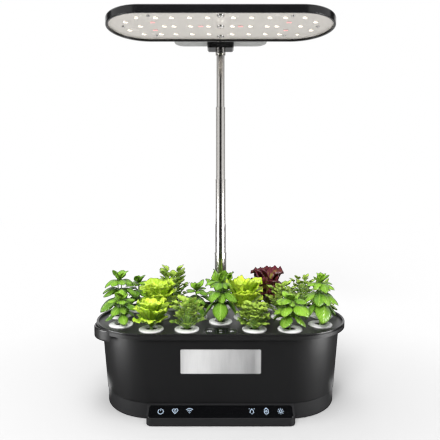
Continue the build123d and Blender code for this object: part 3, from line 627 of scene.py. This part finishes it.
pair_reach = 5.5 * mm
red_chips = [c for c in chip_centres if any(0 < (c - d).length < pair_reach for d in chip_centres)]
white_chips = [c for c in chip_centres if c not in red_chips]
make_lenses("white_leds", white_chips, 3.6 * mm, 1.35 * mm, white_glow)
make_lenses("red_leds", red_chips, 2.25 * mm, 1.1 * mm, red_glow)


# ------------------------------------------------------------------ pods
# White polypropylene baskets; each holds a dark peat sponge that the plant roots in.

pod_plastic = moulded_plastic("pod_plastic", (0.86, 0.86, 0.85), 0.38, 0.00001, worn=0.04)
pods = {f"{i:02d}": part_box(f"pod_{i:02d}") for i in range(1, 19)}
for number in pods:
    clothe(pod_plastic, "pod_" + number)
pod_centres = {number: ((low + high) / 2).xy for number, (low, high) in pods.items()}

peat = Finish("peat", Roughness=0.95)
crumbs = peat.noise(700.0, 4.0)
peat.set(Base_Color=peat.blend(crumbs, (0.006, 0.004, 0.003), (0.035, 0.022, 0.014)))
peat.raise_by(crumbs, 0.0006)

sponge_radius = 9.4 * mm
sponge_edge = 1.2 * mm
sponge_slope = 4.0 * mm
sponge_dip = 1.5 * mm
sponge_low = pod_low.z + 1.6 * mm
for number, centre in pod_centres.items():
    bpy.ops.object.select_all(action="DESELECT")
    bpy.ops.mesh.primitive_cylinder_add(
        vertices=32,
        radius=sponge_radius,
        depth=deck_surface - sponge_low,
        location=(centre.x, centre.y, (deck_surface + sponge_low) / 2),
    )
    sponge = bpy.context.object
    sponge.name = "sponge_" + number
    bpy.ops.object.transform_apply(location=True)
    bpy.ops.object.mode_set(mode="EDIT")
    form = bmesh.from_edit_mesh(sponge.data)
    for face in form.faces:
        face.select = face.normal.z > 0.9
    bmesh.update_edit_mesh(sponge.data)
    bpy.ops.mesh.inset(thickness=sponge_edge)
    bpy.ops.mesh.inset(thickness=sponge_slope)
    bpy.ops.transform.translate(value=(0, 0, -sponge_dip))
    bpy.ops.object.mode_set(mode="OBJECT")
    sponge.data.materials.append(peat.material)
    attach(sponge, "basket_" + number)


# ------------------------------------------------------------------ leaves
# Each kind of leaf is shaped once, standing on its root: a grid is drawn in to the leaf's
# outline row by row, hollowed along its rib, frilled, bent outwards and given its thickness.


def pick(leaf, test):
    """Selects, in edit mode, just the points that pass the test."""
    form = bmesh.from_edit_mesh(leaf.data)
    for vert in form.verts:
        vert.select_set(test(vert.co))
    form.select_flush_mode()
    bmesh.update_edit_mesh(leaf.data)


def finish_with(leaf, kind, **settings):
    """Adds a modifier with these settings and applies it."""
    modifier = leaf.modifiers.new(kind.lower(), kind)
    for name, value in settings.items():
        setattr(modifier, name, value)
    bpy.ops.object.modifier_apply(modifier=modifier.name)


leaf_thickness = 0.011  # as a share of the leaf's length


def make_blade(name, widths, bend, columns=6, hollow=0.25, sweep=0.0, frill=0.0, waves=7.0, seed=0):
    """One leaf, 1 m from root to tip before it is bent; widths are its half widths, root to tip.

    hollow lowers the margins, sweep draws them towards the tip, and frill throws them into
    so many waves. It comes out with its bend in degrees and the straight line to its tip."""
    rows = len(widths) - 1
    bpy.ops.object.select_all(action="DESELECT")
    bpy.ops.mesh.primitive_grid_add(
        x_subdivisions=columns,
        y_subdivisions=rows,
        size=1,
        location=(0, 0, 0.5),
        rotation=(math.pi / 2, 0, 0),
    )
    leaf = bpy.context.object
    leaf.name = name
    bpy.ops.object.transform_apply(location=True, rotation=True)
    bpy.ops.object.mode_set(mode="EDIT")
    for row, width in enumerate(widths):
        pick(leaf, lambda co: abs(co.z - row / rows) < 0.1 / rows)
        bpy.ops.transform.resize(value=(2 * width, 1, 1), center_override=(0, 0, 0))
    bpy.ops.object.mode_set(mode="OBJECT")
    widest = max(widths)
    turns = random.Random(seed)
    phases = [turns.uniform(0, 6.3) for _ in range(3)]
    for vert in leaf.data.vertices:
        share = abs(vert.co.x) / widest
        top = max(0.0, vert.co.z - 0.8) * 4
        side = math.copysign(1.0, vert.co.x)
        ripple = math.sin(vert.co.z * waves * 6.3 + side * phases[0]) + 0.6 * math.sin(
            vert.co.x / widest * waves * 2.4 + vert.co.z * waves * 3.1 + phases[1]
        )
        vert.co.y += hollow * widest * share**1.7 + frill * min(1.0, share**2 + top) * ripple
        vert.co.x += 0.35 * frill * share**2 * math.sin(vert.co.z * waves * 9.0 + phases[2])
        vert.co.z += sweep * share**2
    finish_with(leaf, "SIMPLE_DEFORM", deform_method="BEND", deform_axis="X", angle=math.radians(bend))
    finish_with(leaf, "SOLIDIFY", thickness=leaf_thickness, offset=0.0)
    leaf.data.polygons.foreach_set("use_smooth", [True] * len(leaf.data.polygons))
    leaf.data.attributes.new("tone_and_painted_shade", "FLOAT", "POINT")
    scene.collection.objects.unlink(leaf)
    half = math.radians(bend) / 2
    return leaf.data, bend, math.sin(half) / half


def make_blades(name, widths, bends, **form):
    """A few leaves of one kind, each bent and waved in its own way."""
    return [make_blade(name, widths, bend, seed=seed, **form) for seed, bend in enumerate(bends)]


basil_widths = (0.018, 0.02, 0.03, 0.15, 0.225, 0.262, 0.268, 0.25, 0.205, 0.13, 0.004)
basil_blades = make_blades("basil", basil_widths, (70, 90, 112), hollow=0.4, frill=0.006, waves=2.0)
broad_widths = (0.018, 0.02, 0.05, 0.20, 0.28, 0.32, 0.33, 0.31, 0.26, 0.17, 0.01)
broad_blades = make_blades("broad", broad_widths, (70, 92, 115), hollow=0.35, frill=0.010, waves=2.0)
lettuce_widths = (0.04, 0.04, 0.045, 0.06, 0.085, 0.125, 0.175, 0.23, 0.28, 0.30, 0.27, 0.15)
lettuce_blades = make_blades(
    "lettuce", lettuce_widths, (20, 35, 50, 70),
    columns=12, hollow=-0.15, frill=0.05, waves=4.5,
)
frilly_widths = (0.04, 0.04, 0.045, 0.08, 0.14, 0.11, 0.21, 0.17, 0.28, 0.23, 0.30, 0.19, 0.06)
frilly_blades = make_blades(
    "frilly", frilly_widths, (20, 35, 55),
    columns=10, hollow=-0.05, sweep=0.06, frill=0.06, waves=5.5,
)
curled_widths = (0.04, 0.04, 0.05, 0.08, 0.14, 0.20, 0.26, 0.31, 0.33, 0.28, 0.14)
curled_blades = make_blades(
    "curled", curled_widths, (30, 45, 60, 80),
    columns=14, hollow=-0.12, frill=0.07, waves=8.0,
)
rocket_widths = (0.025, 0.03, 0.04, 0.11, 0.07, 0.16, 0.10, 0.20, 0.22, 0.15, 0.01)
rocket_blades = make_blades(
    "rocket", rocket_widths, (35, 55, 70),
    columns=4, hollow=0.1, sweep=0.04, frill=0.03, waves=3.0,
)
lobed_widths = (0.03, 0.12, 0.36, 0.20, 0.42, 0.22, 0.32, 0.12, 0.01)
lobed_blades = make_blades(
    "lobed", lobed_widths, (20, 40, 60),
    columns=4, hollow=0.15, sweep=0.16, frill=0.035, waves=3.0,
)
curly_widths = (0.05, 0.24, 0.44, 0.34, 0.46, 0.28, 0.06)
curly_blades = make_blades(
    "curly", curly_widths, (30, 70, 110),
    columns=4, hollow=-0.1, sweep=0.15, frill=0.13, waves=3.0,
)


def leaf_finish(name, dark, light, rib, margin=None):
    """Living leaf: lightness differs from leaf to leaf, partly at random and partly as painted shade on the
    lower rings; each leaf is painted darker towards its root as shade, and the rib and side veins are paler.
    """
    finish = Finish(name, Specular_IOR_Level=0.55)
    along = finish.add("SeparateXYZ", inputs={0: finish.add("UVMap")}, output="Y")
    across = abs(finish.add("SeparateXYZ", inputs={0: finish.add("UVMap")}, output="X") - 0.5) * 2
    tone_and_painted_shade = finish.add("Attribute", {"attribute_name": "tone_and_painted_shade"}, output="Fac")
    blotch = finish.noise(160.0, 3.0)
    # Painted shade: the share rises along the leaf, so each leaf is darker towards its root, where the
    # leaves above would shade it.
    colour = finish.blend(tone_and_painted_shade * 0.65 + blotch * 0.15 + along * 0.5 - 0.2, dark, light)
    wave = finish.add("Math", {"operation": "SINE"}, {0: (along - across * 0.3) * 50.0})
    veins = {"Value": wave, "From Min": 0.55, "From Max": 1.0}
    vein = finish.add("MapRange", {"interpolation_type": "SMOOTHSTEP"}, veins)
    ribs = {"Value": across, "From Min": 0.16, "From Max": 0.0}
    midrib = finish.add("MapRange", {"interpolation_type": "SMOOTHSTEP"}, ribs)
    lines = finish.add("Math", {"operation": "MAXIMUM"}, {0: vein * 0.16, 1: midrib * 0.5})
    if margin:
        rim = {"Value": along * 0.8 + across * 0.35 + blotch * 0.4, "From Min": 0.62, "From Max": 1.0}
        outer = finish.add("MapRange", {"interpolation_type": "SMOOTHSTEP"}, rim)
        colour = finish.blend(outer, colour, margin)
    finish.set(Base_Color=finish.blend(lines, colour, rib), Roughness=blotch * 0.12 + 0.24)
    finish.raise_by(wave * 0.5 - midrib, 0.0006)
    return finish


leaf_paints = {
    "leaf_bright": leaf_finish("leaf_bright", (0.022, 0.12, 0.002), (0.30, 0.56, 0.04), (0.40, 0.62, 0.10)),
    "leaf_lime": leaf_finish("leaf_lime", (0.12, 0.32, 0.004), (0.68, 0.88, 0.06), (0.74, 0.88, 0.20)),
    "leaf_herb": leaf_finish("leaf_herb", (0.03, 0.15, 0.003), (0.66, 0.92, 0.12), (0.66, 0.88, 0.20)),
    "leaf_deep": leaf_finish("leaf_deep", (0.014, 0.085, 0.002), (0.26, 0.52, 0.035), (0.36, 0.58, 0.10)),
    "leaf_red": leaf_finish(
        "leaf_red", (0.10, 0.20, 0.01), (0.46, 0.52, 0.05), (0.34, 0.20, 0.06), margin=(0.11, 0.012, 0.026)
    ),
}
stem_paint = Finish("stem_green", Roughness=0.5, Specular_IOR_Level=0.4)
fibre = stem_paint.noise(200.0, 2.0, (1, 1, 0.1))
stem_paint.set(Base_Color=stem_paint.blend(fibre, (0.16, 0.36, 0.04), (0.42, 0.62, 0.16)))


# ------------------------------------------------------------------ plants
# Eighteen seedlings. Rings of leaves are set on each stem, between their roots and tips, and
# pressed gently back inside the room between its neighbours, so that its basket lifts out.

# for each ring: how many leaves, the direction of its first, the height of their roots, and
# the height and reach of their tips as shares of the plant's
growth = {
    "bush": (
        (4, 0, 0.2, 0.14, 1.0), (4, 45, 0.42, 0.46, 0.95), (4, 10, 0.6, 0.8, 0.75), (3, 60, 0.7, 1.0, 0.45),
    ),
    "tall": (
        (4, 0, 0.3, 0.18, 0.95), (4, 45, 0.48, 0.5, 1.0), (4, 5, 0.66, 0.78, 0.8), (3, 40, 0.74, 1.0, 0.45),
    ),
    "rosette": (
        (5, 0, 0.0, 0.3, 1.0), (5, 36, 0.06, 0.62, 0.95), (4, 15, 0.12, 0.9, 0.75), (2, 50, 0.18, 1.0, 0.45),
    ),
    "spray": (
        (5, 0, 0.0, 0.3, 1.0), (5, 36, 0.06, 0.62, 0.9), (4, 10, 0.12, 0.9, 0.65), (2, 60, 0.18, 1.0, 0.35),
    ),
}
leaf_swing = 12.0
leaf_floor = deck_surface + 4.0 * mm
leaf_rest = 3.7 * mm  # lowest that a soft leaf hangs above the deck
plot_gap = 0.7 * mm  # from a leaf to the middle line to the next plant
deck_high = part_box("deck_lid")[1]
deck_middle_y = (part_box("tank")[0].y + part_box("tank")[1].y) / 2
deck_end_x = deck_high.x - (deck_high.y - deck_middle_y)
lip_inside = deck_high.y - deck_middle_y - 4.5 * mm
mast_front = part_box("mast_tube_1")[0].y


def heading(direction, rise):
    """Unit vector in a direction from +X and at a rise above level, in degrees."""
    level = math.cos(math.radians(rise))
    turned = math.radians(direction)
    return Vector((math.cos(turned) * level, math.sin(turned) * level, math.sin(math.radians(rise))))


class Plant:
    """One plant as it grows: the places of its leaves, its stalks, and the room it has."""

    def __init__(self, number, way, height, spread, turn):
        self.number = number
        self.way = way
        self.height = height * mm
        self.half_spread = spread / 2 * mm
        self.turn = turn
        self.centre = Vector((*pod_centres[number], leaf_floor))
        self.chance = random.Random("plant " + number)
        self.stalks = []
        self.leaves = []
        self.walls = [(Vector((0, 1)), mast_front - 2.5 * mm - self.centre.y)]
        for other, place in pod_centres.items():
            away = place - self.centre.xy
            if 0 < away.length < 150 * mm:
                self.walls.append((away.normalized(), away.length / 2 - plot_gap))

    def vary(self, value, share):
        return value * (1 + self.chance.uniform(-share, share))

    def places(self, between=0.0):
        """Ring, direction, root height, tip height and reach of each leaf, or of places between."""
        for ring, (count, first, root, tip, reach) in enumerate(growth[self.way]):
            for index in range(count):
                swing = leaf_swing * math.sin(2 * index + first) + self.chance.uniform(-10, 10)
                direction = self.turn + first + (index + between) * 360 / count + swing - 90
                yield ring, direction, root * self.height, tip * self.height, reach * self.half_spread

    def free_reach(self, direction):
        """How far a leaf may reach in a direction before it meets its room's walls."""
        way = heading(direction, 0).xy
        reaches = [limit / way.dot(normal) for normal, limit in self.walls if way.dot(normal) > 0.2]
        return min(reaches + [1.0])

    def stalk(self, points, thickness):
        self.stalks.append((points, thickness))

    def blade(self, blades, root, direction, rise, length, tone_and_painted_shade, roll=10.0):
        """Sets one leaf by its root, the direction and rise of its tip, and its straight length."""
        mesh, bend, straight = self.chance.choice(blades)
        ahead = heading(direction, rise + bend / 2)
        under = heading(direction, rise + bend / 2 - 90)
        stand = Matrix((under.cross(ahead), under, ahead)).transposed().to_4x4()
        twist = Matrix.Rotation(math.radians(self.chance.uniform(-roll, roll)), 4, "Z")
        data = mesh.copy()
        data.transform(Matrix.Translation(root) @ stand @ twist @ Matrix.Scale(length / straight, 4))
        # Lightness of the whole leaf with a little random spread; it carries painted shade, as lower rings
        # are given darker values.
        shade = min(1.0, max(0.0, tone_and_painted_shade + self.chance.uniform(-0.3, 0.3)))
        data.attributes["tone_and_painted_shade"].data.foreach_set("value", [shade] * len(data.vertices))
        self.leaves.append(data)

    def leaf(self, blades, direction, root_height, tip_height, reach, tone_and_painted_shade, roll=10.0):
        """Sets one leaf between its root on the stem and its tip."""
        reach = min(reach, 0.99 * self.free_reach(direction))
        lift = tip_height - root_height
        root = self.centre + Vector((0, 0, root_height)) + heading(direction, 0) * mm
        rise = math.degrees(math.atan2(lift, reach))
        self.blade(blades, root, direction, rise, math.hypot(lift, reach), tone_and_painted_shade, roll)

    def finish(self, slot_name):
        """Joins stalks and leaves, presses them into the plant's own room, and seats the piece."""
        curve = bpy.data.curves.new("stalks", "CURVE")
        curve.dimensions = "3D"
        curve.bevel_depth = 1.0
        curve.bevel_resolution = 1
        curve.use_fill_caps = True
        for points, thickness in self.stalks:
            spline = curve.splines.new("BEZIER")
            spline.bezier_points.add(len(points) - 1)
            spline.resolution_u = 4
            for step, (bezier, place) in enumerate(zip(spline.bezier_points, points)):
                bezier.co = place
                bezier.handle_left_type = bezier.handle_right_type = "AUTO"
                bezier.radius = thickness * (1 - 0.2 * step)
        whole = meshed("foliage_" + self.number, curve, stem_paint)
        whole.data.attributes.new("tone_and_painted_shade", "FLOAT", "POINT")
        for data in self.leaves:
            data.materials.append(leaf_paints[slot_name].material)
            leaf = bpy.data.objects.new("leaf", data)
            scene.collection.objects.link(leaf)
            leaf.select_set(True)
        bpy.ops.object.join()
        self.press_into_room(whole.data)
        whole.data.polygons.foreach_set("use_smooth", [True] * len(whole.data.polygons))
        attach(whole, "basket_" + self.number)
        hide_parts("plant_" + self.number)

    def press_into_room(self, data):
        """Moves points back that pass a middle line, the mast's side, the deck or its lip."""
        co = np.empty(len(data.vertices) * 3, np.float32)
        data.vertices.foreach_get("co", co)
        co = co.reshape(-1, 3).astype(float)
        here = np.array(self.centre.xy)
        for normal, limit in self.walls:
            reach = (co[:, :2] - here) @ np.array(normal)
            start = 0.85 * limit
            pressed = limit - (limit - start) * np.exp(-(reach - start).clip(0) / (limit - start))
            co[:, :2] += np.where(reach > start, pressed - reach, 0.0)[:, None] * np.array(normal)
        out_of_end = np.maximum(np.abs(co[:, 0]) - deck_end_x, 0)
        over_lip = np.hypot(out_of_end, co[:, 1] - deck_middle_y) > lip_inside
        lowest = deck_surface + np.where(over_lip, 6.0 * mm, leaf_rest)
        lowest = np.where(np.linalg.norm(co[:, :2] - here, axis=1) < 8.0 * mm, -1.0, lowest)
        soft = 4 * mm
        height = co[:, 2] - lowest
        co[:, 2] = np.where(height < soft, lowest + soft * np.exp((height - soft) / soft), co[:, 2])
        data.vertices.foreach_set("co", co.astype(np.float32).ravel())
        data.update()


def grow_basil(number, slot_name, way, height, spread, turn, blades=basil_blades, stems=1, fill=0.6):
    """Basil and its like: stiff stems, arched leaves in rings, small young leaves at the tips."""
    plant = Plant(number, way, height, spread, turn)
    stem_top = growth[way][-1][2] * plant.height
    foot = plant.centre - Vector((0, 0, 5 * mm))
    apart, thickness = (0, 1.5 * mm) if stems == 1 else (1.6 * mm, 0.95 * mm)
    for stem in range(stems):
        out = heading(turn + stem * 360 / stems, 0) * apart
        middle = foot + out * 1.6 + Vector((0, 0, stem_top / 2))
        top = foot + out * 2 + Vector((0, 0, stem_top + 5 * mm))
        plant.stalk([foot + out * 0.6, middle, top], thickness)
    hang = 0.1 * plant.height
    for ring, direction, root, tip, reach in plant.places():
        drop = hang if ring < 3 else 0.0
        # Painted shade: leaves of the lower rings are darker and upper rings lighter, and the five small top
        # leaves are lightest.
        tone_and_painted_shade = 0.22 + 0.18 * ring
        tip = plant.vary(tip - drop, 0.1)
        plant.leaf(blades, direction, root + drop, tip, plant.vary(reach, 0.15), tone_and_painted_shade, 18)
    for ring, direction, root, tip, reach in plant.places(between=0.5):
        if ring in (1, 2):
            tone_and_painted_shade = 0.3 + 0.18 * ring
            plant.leaf(blades, direction, root + hang, tip - hang, reach * plant.vary(fill, 0.2), tone_and_painted_shade, 25)
    for index in range(5):
        plant.leaf(blades, turn + index * 72, stem_top, plant.height * 0.97, plant.half_spread * 0.22, 0.95)
    plant.finish(slot_name)


def grow_rosette(number, slot_name, height, spread, turn, blades=lettuce_blades, fill=0.9, pale=0.0):
    """Lettuce: leaves in rings from the heart, the inner ones upright."""
    plant = Plant(number, "rosette", height, spread, turn)
    foot = plant.centre - Vector((0, 0, 6 * mm))
    plant.stalk([foot, foot + Vector((0, 0, 5 * mm)), foot + Vector((0, 0, 9 * mm))], 3.0 * mm)
    raised = 0.14 * plant.height
    for between, share in ((0.0, 1.0), (0.5, fill)):
        for ring, direction, root, tip, reach in plant.places(between):
            if between and ring not in (0, 2):
                continue
            tip = min(plant.vary(tip + raised, 0.22) * share, plant.height)
            # Painted shade: lower rings darker and upper rings lighter, plus the plant's own paleness.
            tone_and_painted_shade = 0.3 + 0.15 * ring + pale
            plant.leaf(blades, direction, root, tip, plant.vary(reach * share, 0.14), tone_and_painted_shade, 16)
    plant.finish(slot_name)


stalk_thickness = 0.8 * mm


def grow_spray(
    number, slot_name, height, spread, turn, blades=lobed_blades, pairs=2, leaflet=0.3, fill=0.85
):
    """Celery, parsley and their like: thin stalks that fan out, each with leaflets in pairs."""
    plant = Plant(number, "spray", height, spread, turn)
    for between, share in ((0.0, 1.0), (0.5, fill)):
        for ring, direction, root_height, tip_height, reach in plant.places(between):
            reach = min(reach * share, 0.95 * plant.free_reach(direction))
            root = plant.centre + Vector((0, 0, root_height - 3 * mm)) + heading(direction, 0) * mm
            chord = heading(direction, 0) * reach + Vector((0, 0, tip_height * share - root_height))
            rise = math.degrees(math.atan2(chord.z, reach))
            arch = Vector((0, 0, 0.10 * chord.length))
            plant.stalk([root, root + chord * 0.4 + arch, root + chord * 0.75 + arch], stalk_thickness)
            size = leaflet * plant.vary(chord.length, 0.1)
            # Painted shade: leaflets on the lower rings are darker and those on upper rings lighter.
            tone_and_painted_shade = 0.3 + 0.17 * ring
            end = root + chord * 0.74 + arch
            plant.blade(blades, end, direction, rise * 0.6, size * 1.15, tone_and_painted_shade + 0.1, 25)
            for pair in range(pairs):
                place = root + chord * (0.72 - 0.17 * pair) + arch
                for side in (-1, 1):
                    outward = direction + side * plant.vary(62, 0.2)
                    plant.blade(blades, place, outward, rise * 0.5 + 8, size * (1 - 0.12 * pair), tone_and_painted_shade, 30)
    plant.finish(slot_name)


grow_basil("01", "leaf_bright", "bush", 50, 60, 20)
grow_rosette("02", "leaf_lime", 45, 62, 10, fill=0.7)
grow_spray("03", "leaf_herb", 50, 58, 0, leaflet=0.3, fill=0.7)
grow_spray("04", "leaf_herb", 42, 58, 25, blades=curly_blades, pairs=3, leaflet=0.26, fill=0.9)
grow_basil("05", "leaf_bright", "tall", 56, 62, 60, blades=broad_blades, fill=0.75)
grow_basil("06", "leaf_bright", "tall", 86, 66, 10, stems=4, fill=0.75)
grow_basil("07", "leaf_deep", "tall", 78, 62, 35, stems=2, fill=0.8)
grow_rosette("08", "leaf_lime", 62, 70, 40, blades=frilly_blades, pale=-0.15)
grow_basil("09", "leaf_deep", "bush", 60, 58, 50, fill=0.8)
grow_basil("10", "leaf_deep", "tall", 82, 60, 0, stems=2, fill=0.8)
grow_rosette("11", "leaf_lime", 66, 80, 0, fill=0.75, pale=0.1)
grow_spray("12", "leaf_herb", 62, 68, 75, blades=basil_blades, pairs=3, leaflet=0.22)
grow_basil("13", "leaf_herb", "bush", 62, 60, 5)
grow_basil("14", "leaf_deep", "bush", 62, 64, 30)
grow_spray("15", "leaf_herb", 82, 72, 40, pairs=3, leaflet=0.2)
grow_rosette("16", "leaf_bright", 66, 56, 20, blades=rocket_blades, pale=0.1)
grow_rosette("17", "leaf_red", 70, 76, 55, blades=curled_blades)
grow_spray("18", "leaf_herb", 66, 64, 65, blades=basil_blades, pairs=3, leaflet=0.2)
